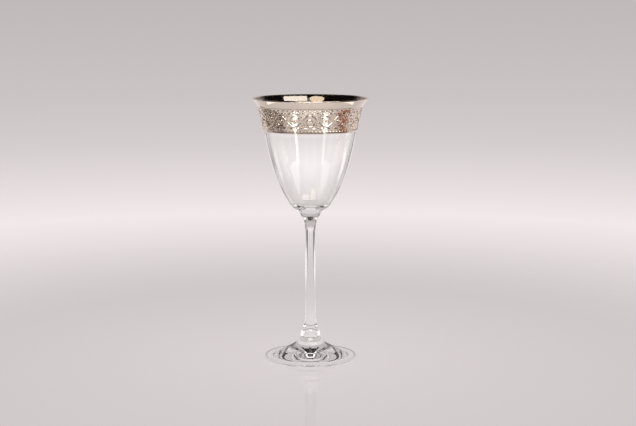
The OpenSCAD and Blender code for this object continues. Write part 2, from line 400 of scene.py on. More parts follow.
def make_room():
    world = bpy.data.worlds.new("room")
    world.use_nodes = True
    bpy.context.scene.world = world
    shader = Shader(world.node_tree)
    way = shader.node("TexCoord", output="Generated")
    up = shader.node("SeparateXYZ", None, {"Vector": way}, "Z")
    flat = shader.scaled(way, (1, 1, 0))
    reach = shader.length(flat)
    through = shader.node("LightPath", output="Is Transmission Ray")
    ceiling = ceiling_share(shader, up, flat, reach, through)
    dark = 1 - (1 - ceiling) * (1 - through * post_share(shader, up, reach))
    mirrored = shader.mix_colour(dark, (*HORIZON, 1.0), (*CEILING, 1.0))
    soft = (SKY_SOFT, SKY_SOFT, SKY_SOFT, 1.0)
    colour = shader.mix_colour(seen_directly(shader), soft, mirrored)
    light = shader.node("Background", None, {"Color": colour, "Strength": 1.0})
    shader.node("OutputWorld", None, {"Surface": light})
    return world


print("world:", make_room().name)

# %% [markdown]
# Six flat sheets of light hang level above the table. The two at the sides are what the inside of the
# lip mirrors, so each has the outline that gives that reflection. The one above the camera is seen in
# reflections alone and puts the white line on the lip. Three are seen through glass alone: the one at
# the back brightens the foot, and the two far out in front give the sparkles at the base of the stem.
# Area lamps would light the table as well, and these sheets leave it as it is.

# %% Sheets and their outlines
OVAL_STEPS = 32


def sheet(name, corners, hidden_from):
    """Flat sheet of the set, hidden from some kinds of rays."""
    mesh = bpy.data.meshes.new(name)
    mesh.from_pydata(corners, [], [tuple(range(len(corners)))])
    made = bpy.data.objects.new(name, mesh)
    bpy.context.scene.collection.objects.link(made)
    for kind in hidden_from:
        setattr(made, "visible_" + kind, False)
    return made


def oval(middle, half_width, half_length, lean):
    """Outline of an oval whose length leans from the -Y axis."""
    points = []
    for a in np.linspace(0, 2 * pi, OVAL_STEPS, endpoint=False):
        across, along = half_width * cos(a), half_length * sin(a)
        points.append((middle[0] + across * cos(lean) + along * sin(lean),
                       middle[1] - across * sin(lean) + along * cos(lean)))
    return points


def panel(x0, x1, y0, y1):
    return [(x0, y0), (x1, y0), (x1, y1), (x0, y1)]


def fan(az, wide, near, far):
    """Outline between two radii and two angles from the front, in degrees."""
    edges = [radians(az - wide / 2), radians(az + wide / 2)]
    ends = [(edges[0], far), (edges[1], far), (edges[1], near), (edges[0], near)]
    return [(r * sin(a), -r * cos(a)) for a, r in ends]


print("outlines: oval, panel and fan")

# %% Softboxes
CREAM = (1.0, 0.93, 0.85)
AMBER = (1.0, 0.82, 0.62)
WHITE = (1.0, 0.97, 0.95)
SOFTBOX_Z = 1.1
FRONT_Z = 1.4
RIGHT_OUTLINE = [(0.42, 0.20), (0.056, -0.06), (0.11, -0.62), (0.50, -0.55), (0.83, -0.2)]
LEFT_OUTLINE = oval(middle=(-0.19, -0.46), half_width=0.2, half_length=0.40, lean=radians(11))
FRONT_OUTLINE = panel(-0.8, 0.8, -2.4, -1.15)
BACK_OUTLINE = panel(-0.45, 0.45, 0.45, 1.15)
SPARK_AZ = 59
SPARK = {"wide": 30, "near": 0.95, "far": 2.3}


def softbox(name, outline, tint, radiance, also_hidden=(), z=SOFTBOX_Z):
    made = sheet(name, [(x, y, z) for x, y in outline], ["camera", "diffuse", *also_hidden])
    material, shader = new_finish(name)
    glow = shader.node("Emission", None, {"Color": (*tint, 1.0), "Strength": radiance})
    shader.node("OutputMaterial", None, {"Surface": glow})
    made.data.materials.append(material)
    return made


softboxes = [
    softbox("softbox_right", RIGHT_OUTLINE, CREAM, radiance=2.45),
    softbox("softbox_left", LEFT_OUTLINE, AMBER, radiance=2.15),
    softbox("softbox_front", FRONT_OUTLINE, WHITE, radiance=6.0, also_hidden=["transmission"], z=FRONT_Z),
    softbox("softbox_back", BACK_OUTLINE, WHITE, radiance=1.2, also_hidden=["glossy"]),
    softbox("spark_right", fan(SPARK_AZ, **SPARK), WHITE, radiance=1.6, also_hidden=["glossy"]),
    softbox("spark_left", fan(-SPARK_AZ, **SPARK), WHITE, radiance=1.1, also_hidden=["glossy"]),
]
print("softboxes", [made.name for made in softboxes])

# %% [markdown]
# A polished table top also throws back the lamps that stand round it. Each of these shines is a bright
# wedge on the table that points at the glass. The bowl draws the ones in front as upright streaks, and
# they are stronger in glass than in metal. The ones beside the glass have soft ends and give the
# highlights on its flanks and the bright edges of the stem. The ones just behind it light up the ends
# of the plain stripe. All are clear from below, or the glossy table would mirror them to the camera.

# %% Clear from behind, and soft ends
def one_sided(shader, surface):
    """The same surface, but clear from behind."""
    clear = shader.node("BsdfTransparent")
    behind = shader.node("NewGeometry", output="Backfacing")
    return shader.node("MixShader", None, {0: behind, 1: surface, 2: clear})


def faded(shader, surface, place, empty, full):
    """The same surface, fading in from one place to another."""
    clear = shader.node("BsdfTransparent")
    return shader.node("MixShader", None, {0: shader.ease(place, empty, full), 1: clear, 2: surface})


def away_from_axis(shader):
    return shader.length(shader.stretched((1, 1, 0)))


print("sheets can be one-sided and fade")

# %% Shines on the table
SHINE_Z = 0.003
# Rays that a sheet is hidden from, so that only these see it
ONLY_METAL_AND_GLASS = ["camera", "diffuse", "shadow"]
ONLY_METAL = ["camera", "diffuse", "transmission", "shadow"]
ONLY_THROUGH_GLASS = ["camera", "diffuse", "glossy", "shadow"]
STREAK = {"wide": 7, "near": 0.25, "far": 0.8}
FLANK = {"wide": 16, "near": 0.2, "far": 0.6, "soft": 0.17}
STRIPE_END = {"wide": 44, "near": 0.06, "far": 0.26}

# Name, angle from the front, radiance at the left and at the right, rays it is hidden from, outline
SHINES = [
    ("shine", 36, 2.0, 2.0, ONLY_METAL_AND_GLASS, STREAK),
    ("streak", 36, 6.0, 2.5, ONLY_THROUGH_GLASS, STREAK),
    ("flank", 116, 2.4, 3.1, ONLY_THROUGH_GLASS, FLANK),
    ("stripe", 140, 1.2, 1.2, ONLY_METAL, STRIPE_END),
]


def shine(name, az, radiance, hidden_from, wide, near, far, soft=0):
    """Bright wedge on the table, with soft ends if asked."""
    made = sheet(name, [(x, y, SHINE_Z) for x, y in fan(az, wide, near, far)], hidden_from)
    material, shader = new_finish(name)
    glow = shader.node("Emission", None, {"Color": (*WHITE, 1.0), "Strength": radiance})
    if soft:
        away = away_from_axis(shader)
        glow = faded(shader, glow, away, near, near + soft)
        glow = faded(shader, glow, away, far, far - soft)
    shader.node("OutputMaterial", None, {"Surface": one_sided(shader, glow)})
    made.data.materials.append(material)


for name, az, left, right, hidden_from, outline in SHINES:
    shine(name + "_left", -az, left, hidden_from, **outline)
    shine(name + "_right", az, right, hidden_from, **outline)
print("shines at both sides:", [row[0] for row in SHINES])

# %% [markdown]
# Cards round the set do what lamps cannot. The black ones behind the glass are seen only through it.
# Two wedges on the table and two low flags draw the dark lines along the edges of the bowl, and two
# taller flags help to draw those of the stem. All of these fade in, so the lines have soft ends. A hood
# that hangs level behind makes the dark patch in the foot. Two mats that lie beside the glass are seen
# only by the metal and darken the sides of the band: a grey-brown one at the left and a red-brown one
# at the right.

# %% Cards
BLACK = (0.02, 0.016, 0.016)
CARD_Z = 0.002


def height(shader):
    return shader.node("SeparateXYZ", None, {"Vector": shader.stretched((1, 1, 1))}, "Z")


def card(name, corners, colour, hidden_from, measure=None, empty=0, full=0):
    """Matt sheet that may fade in along what is measured on it."""
    made = sheet(name, corners, hidden_from)
    material, shader = new_finish(name)
    matt = shader.node("BsdfDiffuse", None, {"Color": (*colour, 1.0)})
    if measure:
        matt = faded(shader, matt, measure(shader), empty, full)
    shader.node("OutputMaterial", None, {"Surface": one_sided(shader, matt)})
    made.data.materials.append(material)
    return made


def level_card(name, outline, z, colour, hidden_from):
    return card(name, [(x, y, z) for x, y in outline], colour, hidden_from)


def wedge(name, az, wide, near, full, far):
    """Black wedge on the table behind the glass."""
    corners = [(x, y, CARD_Z) for x, y in fan(az, wide, near, far)]
    return card(name, corners, BLACK, ONLY_THROUGH_GLASS, away_from_axis, near, full)


def flag(name, az, low, full, high, away, width):
    """Upright black card behind the glass, at an angle from the +Y axis, in degrees."""
    turn = radians(az)
    middle = Vector((sin(turn), cos(turn), 0)) * away
    aside = Vector((cos(turn), -sin(turn), 0)) * width / 2
    foot, top = Vector((0, 0, low)), Vector((0, 0, high))
    corners = [middle - aside + foot, middle + aside + foot, middle + aside + top, middle - aside + top]
    return card(name, corners, BLACK, ONLY_THROUGH_GLASS, height, low, full)


print("cards: level ones, wedges and flags")

# %% Set up the cards
GREY_BROWN = (0.26, 0.22, 0.20)
RED_BROWN = (0.40, 0.17, 0.12)
HOOD_Z = 0.86
HOOD = [(-0.32, 2), (0.32, 2), (0.30, 1.05), (0.15, 0.5), (-0.15, 0.5), (-0.30, 1.05)]
MAT_LEFT = panel(-0.75, -0.33, -0.19, 0.50)
MAT_RIGHT = panel(0.29, 0.75, -0.16, 0.10)
WEDGE = {"near": 0.40, "full": 0.75, "far": 1.6}
STEM_FLAG = {"low": 0.003, "full": 0.055, "high": 0.14, "away": 0.39, "width": 0.1}
LOW_FLAG = {"low": 0.025, "full": 0.075, "high": 0.085, "away": 0.2, "width": 0.026}

cards = [
    wedge("edge_right", az=151.75, wide=9.5, **WEDGE),
    wedge("edge_left", az=-150.75, wide=7.5, **WEDGE),
    level_card("hood", HOOD, HOOD_Z, BLACK, ONLY_THROUGH_GLASS),
    flag("flag_right", az=47, **STEM_FLAG),
    flag("flag_left", az=-47, **STEM_FLAG),
    flag("low_right", az=27, **LOW_FLAG),
    flag("low_left", az=-28, **LOW_FLAG),
    level_card("mat_left", MAT_LEFT, CARD_Z, GREY_BROWN, ONLY_METAL),
    level_card("mat_right", MAT_RIGHT, CARD_Z, RED_BROWN, ONLY_METAL),
]
print("cards", [made.name for made in cards])

# %% [markdown]
# ## The shape of the bowl
#
# The outside of the bowl is one smooth curve: a round belly, a wall that leans out and a lip that turns
# further out. It could be drawn as a spline, but a formula follows the solids exactly and gives the
# slope at each height, which the wall, the metal layer and the scroll all need.

# %% Outline of the bowl
BELLY_OUT = 18.3 * MM
BELLY_POWER = 3.5
BOTTOM_POWER = 0.69
LIP_OUT = 4.9 * MM
LIP_ANGLE = radians(48)
LIP_WALL = 0.9 * MM
HEAD_R = 16.4 / 2 * MM
FILM_T = 0.12 * MM

RIM_R = min(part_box("lip_line")[1].x, -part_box("lip_line")[0].x)
BOWL_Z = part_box("bowl")[0].z
LIP_Z = cad_high.z - FILM_T - LIP_WALL / 2 * (1 + sin(LIP_ANGLE))
LIP_R = RIM_R - FILM_T - LIP_WALL / 2 * (1 - cos(LIP_ANGLE))
WALL_H = LIP_Z - BOWL_Z
WALL_LEAN = LIP_R - LIP_OUT - BELLY_OUT - HEAD_R
LIP_LEN = LIP_OUT / (tan(LIP_ANGLE) - WALL_LEAN / WALL_H)


def lip_turn(z):
    return LIP_OUT * exp((z - LIP_Z) / LIP_LEN)


def bowl_r(z):
    u = min(1.0, max(0.0, (z - BOWL_Z) / WALL_H))
    belly = BELLY_OUT * (1 - (1 - u) ** BELLY_POWER) ** BOTTOM_POWER
    return HEAD_R + belly + WALL_LEAN * u + lip_turn(z) - lip_turn(BOWL_Z) * (1 - u)


print("lip radius", round(LIP_R / MM, 2), "mm, slope length of the lip", round(LIP_LEN / MM, 2), "mm")

# %% Wall and edge of the bowl
SIDE_WALL = 1.4 * MM
THIN_H = 28 * MM
SLOPE_STEP = 0.01 * MM


def bowl_lean(z):
    return atan((bowl_r(z) - bowl_r(z - SLOPE_STEP)) / SLOPE_STEP)


def wall_t(z):
    return LIP_WALL + (SIDE_WALL - LIP_WALL) * min(1.0, (LIP_Z - z) / THIN_H)


def wall_point(z, inward):
    lean = bowl_lean(z)
    return bowl_r(z) - inward * cos(lean), z + inward * sin(lean)


def lip_edge(extra, count):
    """Half round of the lip's edge, from its outside over the top to its inside."""
    mid_r = LIP_R - LIP_WALL / 2 * cos(LIP_ANGLE)
    mid_z = LIP_Z + LIP_WALL / 2 * sin(LIP_ANGLE)
    turns = np.linspace(-LIP_ANGLE, pi - LIP_ANGLE, count)
    radius = LIP_WALL / 2 + extra
    return [(mid_r + radius * cos(a), mid_z + radius * sin(a)) for a in turns]


print("wall", round(wall_t(BOWL_Z) / MM, 2), "mm below and", round(wall_t(LIP_Z) / MM, 2), "mm at the lip")

# %% [markdown]
# ## Turning outlines into meshes
#
# Everything on this glass except the scroll is turned round one axis. The Screw modifier could do that,
# but a few lines that build the rings directly also close the poles on the axis, keep chosen corners
# sharp and give single rings another finish.

# %% Revolve
ROUND_STEPS = 256
ON_AXIS = 1e-9


def mark_sharp(mesh, corner_rings):
    """Edges that run along one of these rings stay sharp."""
    sharp = mesh.attributes.new("sharp_edge", "BOOLEAN", "EDGE")
    flags = [any(set(e.vertices) <= ring for ring in corner_rings) for e in mesh.edges]
    sharp.data.foreach_set("value", flags)


def revolve(name, outline, loop=False, corners=(), second=()):
    """Mesh of an outline of (radius, height) turned round the axis; some spans get the second finish."""
    turns = np.linspace(0, 2 * pi, ROUND_STEPS, endpoint=False)
    rings, points = [], []
    for r, z in outline:
        first = len(points)
        if r < ON_AXIS:
            points.append((0, 0, z))
            rings.append([first] * ROUND_STEPS)
        else:
            points += [(r * sin(a), -r * cos(a), z) for a in turns]
            rings.append(list(range(first, first + ROUND_STEPS)))
    faces, slots = [], []
    spans = list(zip(rings, rings[1:] + rings[:1]))
    for i, (low, high) in enumerate(spans if loop else spans[:-1]):
        for k in range(ROUND_STEPS):
            j = (k + 1) % ROUND_STEPS
            corner = [low[k], low[j], high[j], high[k]]
            faces.append(list(dict.fromkeys(corner)))
            slots.append(1 if i in second else 0)
    mesh = bpy.data.meshes.new(name)
    mesh.from_pydata(points, [], faces)
    mesh.shade_smooth()
    mesh.polygons.foreach_set("material_index", slots)
    mark_sharp(mesh, [set(rings[i]) for i in corners])
    mesh.update()
    return mesh


print("each ring has", ROUND_STEPS, "points")

# %% Pieces
def add_piece(name, mesh, node):
    piece = bpy.data.objects.new(name, mesh)
    bpy.context.scene.collection.objects.link(piece)
    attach(piece, "root")
    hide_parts(node)
    return piece


def spread(start, end, count):
    """Even steps from start to end, without the end."""
    return list(np.linspace(start, end, count, endpoint=False))


print("every piece rides on the one body, root")

# %% [markdown]
# ## Clear glass
#
# Clear glass is a refracting shader with almost no colour. Blown glass is never quite even, so a very
# weak bump, drawn out along the height, bends the light a little as the real wall does. Bowl, stem
# and foot are fused on the real glass. Their meeting faces are given a see-through finish, so light
# goes from one to the next as through one lump of glass.

# %% Glass finish
GLASS_TINT = (0.995, 0.998, 0.997)
GLASS_DEEP_TINT = (0.985, 0.992, 0.99)
DEEP_SHARE = 0.5
GLASS_IOR = 1.52
WAVE_STRETCH = (110, 110, 14)
WAVE_DEPTH = 0.004 * MM


def noise(shader, stretch, detail=1.0):
    place = shader.stretched(stretch)
    return shader.node("TexNoise", None, {"Vector": place, "Scale": 1.0, "Detail": detail})


def bump(shader, depth, rise):
    return shader.node("Bump", None, {"Strength": 1.0, "Distance": depth, "Height": rise})


def make_glass():
    material, shader = new_finish("clear_glass")
    waves = noise(shader, WAVE_STRETCH)
    colour = shader.mix_colour(waves * DEEP_SHARE, (*GLASS_TINT, 1.0), (*GLASS_DEEP_TINT, 1.0))
    glass = shader.node("BsdfPrincipled", None, {
        "Base Color": colour, "Roughness": 0.0, "IOR": GLASS_IOR,
        "Transmission Weight": 1.0, "Normal": bump(shader, WAVE_DEPTH, waves),
    })
    shader.node("OutputMaterial", None, {"Surface": glass})
    return material


def make_fused():
    material, shader = new_finish("fused_joint")
    shader.node("OutputMaterial", None, {"Surface": shader.node("BsdfTransparent")})
    return material


glass_finishes = [make_glass(), make_fused()]
print("glass finishes:", [material.name for material in glass_finishes])


def finish_glass(piece):
    piece.visible_diffuse = False
    for material in glass_finishes:
        piece.data.materials.append(material)
    print(piece.name, len(piece.data.polygons), "faces")


# %% [markdown]
# ### Bowl
#
# The bowl is blown, so its inside follows the outside at the thickness of the wall. It ends in a round
# floor, and the glass is thickest just above the stem, as it is where a gather is pulled. One closed
# outline goes up the outside, over the edge and down the inside. A Solidify modifier would give an even
# wall and no thick floor.

# %% Bowl
FLOOR_T = 4 * MM
FLOOR_ROUND = 4.5 * MM
OUTER_STEPS = 150
INNER_STEPS = 110
FLOOR_STEPS = 40
EDGE_STEPS = 13
BUNCHING = 1.8


def bowl_outline():
    floor_z = BOWL_Z + FLOOR_T
    inside = []
    for a in spread(0, pi / 2, FLOOR_STEPS):
        z = floor_z + FLOOR_ROUND * (1 - cos(a))
        inside.append(((bowl_r(z) - wall_t(z) / cos(bowl_lean(z))) * sin(a), z))
    inside += [wall_point(z, wall_t(z)) for z in spread(floor_z + FLOOR_ROUND, LIP_Z, INNER_STEPS)]
    levels = [BOWL_Z + WALL_H * t ** BUNCHING for t in spread(0, 1, OUTER_STEPS)]
    outside = [(bowl_r(z), z) for z in levels]
    return [(0.0, BOWL_Z)] + outside + lip_edge(0, EDGE_STEPS) + inside[::-1]


bowl_mesh = revolve("bowl_glass", bowl_outline(), corners=[1], second=[0])
bowl = add_piece("bowl_glass", bowl_mesh, "bowl")
finish_glass(bowl)

# %% [markdown]
# ### Stem
#
# The stem is drawn out of a hot gather, so it flares softly into both its ends. A tapering line with two
# flares added to it has only a few sizes to set, where a hand-drawn curve would have many points.

# %% Stem
SHANK_TOP_R = 6.8 / 2 * MM
SHANK_LOW_R = 8.4 / 2 * MM
BASE_R = 15.6 / 2 * MM
HEAD_FLARE = 5.2 * MM
BASE_FLARE = 7 * MM
HEAD_POWER = 2
BASE_POWER = 2.6
STEM_STEPS = 140
STEM_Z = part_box("stem")[0].z


def flare(distance, length, power):
    return 1 / (1 + (distance / length) ** power)


def stem_r(z):
    shank = SHANK_LOW_R + (SHANK_TOP_R - SHANK_LOW_R) * (z - STEM_Z) / (BOWL_Z - STEM_Z)
    head = (HEAD_R - SHANK_TOP_R) * flare(BOWL_Z - z, HEAD_FLARE, HEAD_POWER)
    base = (BASE_R - SHANK_LOW_R) * flare(z - STEM_Z, BASE_FLARE, BASE_POWER)
    return shank + head + base


def stem_outline():
    turns = np.linspace(0, pi, STEM_STEPS)
    levels = [STEM_Z + (BOWL_Z - STEM_Z) * (1 - cos(a)) / 2 for a in turns]
    return [(0.0, STEM_Z)] + [(stem_r(z), z) for z in levels] + [(0.0, BOWL_Z)]


stem_mesh = revolve("stem_glass", stem_outline(), corners=[1, STEM_STEPS], second=[0, STEM_STEPS])
stem = add_piece("stem_glass", stem_mesh, "stem")
finish_glass(stem)

# %% [markdown]
# ### Foot
#
# The foot is a cone with a flat brim, a round edge and a hollow underside, so it stands on a ring. It is
# shaped while hot, so cone and brim run into each other. A bevel would leave two creases there, and the
# root of a sum of squares blends them without any.

# %% Foot
FOOT_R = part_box("foot")[1].x
EDGE_T = 2 * MM
BRIM_W = 6 * MM
CONE_SLOPE = tan(radians(26.5))
BRIM_BLEND = 0.9 * MM
THROAT_H = 4.3 * MM
THROAT_LEN = 1.9 * MM
HOLLOW_H = 2.6 * MM
REST_W = 4 * MM
REST_R = FOOT_R - EDGE_T / 2
HOLLOW_R = REST_R - REST_W
TOP_STEPS = 110
HOLLOW_STEPS = 50


def foot_z(r):
    cone = CONE_SLOPE * (FOOT_R - BRIM_W - r)
    brim = (cone + sqrt(cone ** 2 + BRIM_BLEND ** 2)) / 2
    return EDGE_T + brim + THROAT_H * exp((BASE_R - r) / THROAT_LEN)


def foot_outline():
    hollow = [(r, HOLLOW_H * (1 - (r / HOLLOW_R) ** 2)) for r in spread(0, HOLLOW_R, HOLLOW_STEPS)]
    edge_top = foot_z(REST_R)
    edge = [(REST_R + EDGE_T / 2 * cos(a), edge_top / 2 * (1 + sin(a)))
            for a in np.linspace(-pi / 2, pi / 2, EDGE_STEPS)]
    radii = [BASE_R + (REST_R - BASE_R) * (1 - t) ** BUNCHING for t in np.linspace(0, 1, TOP_STEPS)[1:]]
    top = [(r, foot_z(r)) for r in radii]
    return hollow + [(HOLLOW_R, 0.0)] + edge + top + [(0.0, foot_z(BASE_R))]


foot_points = foot_outline()
seat = len(foot_points) - 2
foot_mesh = revolve("foot_glass", foot_points, corners=[HOLLOW_STEPS, seat], second=[seat])
foot = add_piece("foot_glass", foot_mesh, "foot")
finish_glass(foot)

# %% [markdown]
# ## The platinum band
#
# Fired platinum is a very thin mirror. Its outside is bright and warm and keeps fine lines from
# burnishing. Its back, which is seen through the glass as the mirror inside the lip, is darker, so it
# has a finish of its own. The ground of the frieze was etched before the metal was painted on, and its
# pits and waves are a bump here, since as geometry they would need millions of faces.

# %% Burnished metal
PLATINUM = (0.91, 0.82, 0.72)
PLATINUM_WORN = (0.85, 0.76, 0.66)
BACK = (0.37, 0.345, 0.32)
BACK_WORN = (0.35, 0.325, 0.30)
CLOUD_STRETCH = (140, 140, 140)
CLOUD_DETAIL = 3.0
BURNISH_STRETCH = (60, 60, 5200)
BURNISH_DETAIL = 2.0
BURNISH_DEPTH = 0.0015 * MM
BRIGHT_ROUGH = 0.02
CLOUD_ROUGH = 0.03


def metal_shader(shader, colour, rough, normal):
    metal = shader.node("BsdfPrincipled", None, {
        "Base Color": colour, "Metallic": 1.0, "Roughness": rough, "Normal": normal,
    })
    shader.node("OutputMaterial", None, {"Surface": metal})


def make_platinum(name, fresh, worn):
    material, shader = new_finish(name)
    cloud = noise(shader, CLOUD_STRETCH, CLOUD_DETAIL)
    lines = noise(shader, BURNISH_STRETCH, BURNISH_DETAIL)
    colour = shader.mix_colour(cloud, (*fresh, 1.0), (*worn, 1.0))
    rough = BRIGHT_ROUGH + CLOUD_ROUGH * cloud
    metal_shader(shader, colour, rough, bump(shader, BURNISH_DEPTH, lines))
    return material


platinum = make_platinum("burnished_platinum", PLATINUM, PLATINUM_WORN)
metal_back = make_platinum("metal_back", BACK, BACK_WORN)
print("burnished finishes:", platinum.name, metal_back.name)

# %% Etched metal
ETCH_DEPTH = 0.3 * MM
ETCH_WAVES = 0.4
GRAIN_STRETCH = (2600, 2600, 2600)
WAVES_STRETCH = (450, 450, 450)
PIT_STRETCH = (400, 400, 400)
PITS = (0.58, 0.64)
ETCH_ROUGH = 0.06
GRAIN_ROUGH = 0.1


def make_etched():
    material, shader = new_finish("etched_platinum")
    spots = noise(shader, PIT_STRETCH)
    rise = ETCH_WAVES * noise(shader, WAVES_STRETCH) - shader.ease(spots, *PITS)
    colour = shader.mix_colour(spots, (*PLATINUM_WORN, 1.0), (*PLATINUM, 1.0))
    rough = ETCH_ROUGH + GRAIN_ROUGH * noise(shader, GRAIN_STRETCH)
    metal_shader(shader, colour, rough, bump(shader, ETCH_DEPTH, rise))
    return material


etched = make_etched()
print("etched finish:", etched.name)

# %% [markdown]
# ### Zones of the band
#
# The decorator lays the band on in zones: a plain stripe, two narrow raised lines and the etched ground
# of the frieze between them. Each is a thin closed skin whose back face lies a hair inside the glass,
# where light that comes through the wall meets it. A second material on the bowl would be simpler, but
# then the metal would have no thickness and no back.

# %% Skins of metal
SINK = 0.02 * MM
BEAD_T = 0.16 * MM
SKIN_STEPS = 40


def levels_of(node):
    low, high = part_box(node)
    return low.z, high.z


def skin_mesh(name, low, high, bead):
    """Thin closed skin on the outside of the bowl, with a rounded bead where one is given."""
    levels = np.linspace(low, high, SKIN_STEPS)
    swell = [bead * sin(pi * (z - low) / (high - low)) for z in levels]
    face = [(bowl_r(z) + FILM_T + s, z) for z, s in zip(levels, swell)]
    back = [(bowl_r(z) - SINK, z) for z in levels[::-1]]
    first, last = SKIN_STEPS, 2 * SKIN_STEPS - 1
    corners = [0, first - 1, first, last]
    return revolve(name, face + back, loop=True, corners=corners, second=range(first, last))


def finish_metal(piece, finish):
    for material in (finish, metal_back):
        piece.data.materials.append(material)


def add_skin(name, node, finish, bead=0.0):
    low, high = levels_of(node)
    piece = add_piece(name, skin_mesh(name, low, high, bead), node)
    finish_metal(piece, finish)
    print(name, round((high - low) / MM, 2), "mm high")


add_skin("plain_stripe", "rim_band", platinum)
add_skin("upper_line", "upper_line", platinum, BEAD_T)
add_skin("etched_ground", "frieze_ground", etched)
add_skin("lower_line", "lower_line", platinum, BEAD_T)

# %% [markdown]
# ### Lip line
#
# Last, a full brush goes round the lip, so this zone wraps over the edge and a little way into the bowl.
# It is the same thin skin, with the half round of the edge between its two sides. A bevelled curve
# would be a round wire there, and this line has to follow the lip.

# %% Line round the lip
LIP_LINE_STEPS = 8


def lip_line_mesh():
    stripe_top = levels_of("rim_band")[1]
    levels = spread(stripe_top, LIP_Z, LIP_LINE_STEPS)
    outside = [(bowl_r(z) + FILM_T, z) for z in levels]
    inside = [(bowl_r(z) - SINK, z) for z in levels]
    cup = [wall_point(z, wall_t(z) - SINK) for z in levels]
    cup_face = [wall_point(z, wall_t(z) + FILM_T) for z in levels]
    face = outside + lip_edge(FILM_T, EDGE_STEPS) + cup_face[::-1]
    back = cup + lip_edge(-SINK, EDGE_STEPS)[::-1] + inside[::-1]
    first, last = len(face), len(face) + len(back) - 1
    corners = [0, first - 1, first, last]
    return revolve("lip_line", face + back, loop=True, corners=corners, second=range(first, last))


lip_line = add_piece("lip_line_platinum", lip_line_mesh(), "lip_line")
finish_metal(lip_line, platinum)
print("lip line", len(lip_line.data.polygons), "faces")

# %% [markdown]
# ## The vine scroll
#
# On the real glass the scroll is etched into the wall and burnished, so its veins and leaves stand out
# bright from the matt ground. Each shape is a ridge along a short path: the path is drawn on a flat
# panel, the ridge gets a round section, and the panel is bent on to the flaring bowl. A displacement
# texture would be quicker but could not follow the flare or be kept as geometry.

# %% Panel of the frieze
WAVES = 10
PANEL_H = 20 * MM
RELIEF_LEAN = 0.9

frieze_low, frieze_high = levels_of("frieze_ground")
frieze_mid = (frieze_low + frieze_high) / 2
PANEL_STRETCH = (frieze_high - frieze_low) / PANEL_H
ROUND_LENGTH = 2 * pi * bowl_r(frieze_mid)
WAVE_L = ROUND_LENGTH / WAVES


def on_frieze(x, up, out):
    """Point of the panel bent on to the bowl."""
    z = frieze_mid + (up - RELIEF_LEAN * out) * PANEL_STRETCH
    r = bowl_r(z) + FILM_T + out
    a = 2 * pi * x / ROUND_LENGTH
    return r * sin(a), -r * cos(a), z


print("one wave of the scroll is", round(WAVE_L / MM, 2), "mm long")

# %% [markdown]
# ### Vine and tendrils
#
# The vine swings up and down like a wave, and in each bend a tendril curls into a spiral. A shape is a
# list of stations, each with its place on the panel and half its width there. Curve objects could hold
# the same paths, but plain lists can be mirrored and bent with one line each.

# %% Vine and tendril
WAVE_SWING = 5 * MM
VINE_W = 0.42 * MM
VINE_END = 0.4
VINE_GAP = 0.5 * MM
VINE_STEPS = 25
TENDRIL_R = 4.1 * MM
TENDRIL_END_R = 1.9 * MM
TENDRIL_TURNS = 1.1
TENDRIL_W = 0.34 * MM
TENDRIL_SWELL = 1.2
TENDRIL_TAPER = 0.5
TENDRIL_DROP = 0.9 * MM
TENDRIL_START = radians(20)
TENDRIL_STEPS = 33


def vine_up(x):
    return WAVE_SWING * cos(2 * pi * x / WAVE_L)


def vine(turn):
    stations = []
    for t in np.linspace(0, 1, VINE_STEPS):
        x = (WAVE_L / 2 - VINE_GAP) * (t - 0.5)
        stations.append((x, turn * vine_up(x), VINE_W * (VINE_END + sin(pi * t))))
    return stations


def tendril(turn):
    stations = []
    for t in np.linspace(0, 1, TENDRIL_STEPS):
        r = TENDRIL_R + (TENDRIL_END_R - TENDRIL_R) * t
        a = TENDRIL_START - 2 * pi * TENDRIL_TURNS * t
        half_width = TENDRIL_W * (TENDRIL_SWELL - TENDRIL_TAPER * t)
        stations.append((r * cos(a), turn * (r * sin(a) - TENDRIL_DROP), half_width))
    return stations


print("tendril", round(2 * TENDRIL_R / MM, 1), "mm across")

# %% [markdown]
# ### Leaves and borders
#
# Leaves stand along the vine and beyond each tendril. A row of dashes borders the scroll above and a
# row of leaning tips below. All of them are the same pointed blade with other sizes, so one function
# draws them, where stamps of a brush or copied objects would each need their own drawing.

# %% Leaves and borders
BLADE_STEPS = 11
BLADE_FULLNESS = 0.8
LEAF_L = 3.4 * MM
LEAF_W = 0.78 * MM
LEAF_BEND = radians(24)
DASH_L = 2.6 * MM
DASH_W = 0.5 * MM
DASHES = 3
BORDER_UP = 9.2 * MM
TIP_L = 2.1 * MM
TIP_W = 0.42 * MM
TIPS = 4
TIP_FOOT = -9.7 * MM
TIP_LEAN = radians(34)


def blade(at, angle, length, half_width, bend=0.0):
    stations = []
    for t in np.linspace(0, 1, BLADE_STEPS):
        a = angle + bend * (t - 0.5)
        width = half_width * max(0.0, sin(pi * t)) ** BLADE_FULLNESS
        stations.append((at[0] + length * t * cos(a), at[1] + length * t * sin(a), width))
    return stations


def leaf(at, angle, side, turn):
    return [(side * x, turn * up, w) for x, up, w in blade(at, angle, LEAF_L, LEAF_W, LEAF_BEND)]


def border_x(k, count):
    return WAVE_L / 2 * ((k + 0.5) / count - 0.5)


def dash(k):
    return blade((border_x(k, DASHES) - DASH_L / 2, BORDER_UP), 0, DASH_L, DASH_W)


def tip(k):
    start = border_x(k, TIPS) - TIP_L * cos(TIP_LEAN) / 2
    return blade((start, TIP_FOOT), TIP_LEAN, TIP_L, TIP_W)


print("borders of", 2 * WAVES * DASHES, "dashes and", 2 * WAVES * TIPS, "tips")

# %% [markdown]
# ### Berries and buds
#
# A bud with five petals sits in the eye of each spiral, and single berries fill the gaps. A berry is a
# ridge as wide as a circle is at each station, so it needs no other kind of mesh.

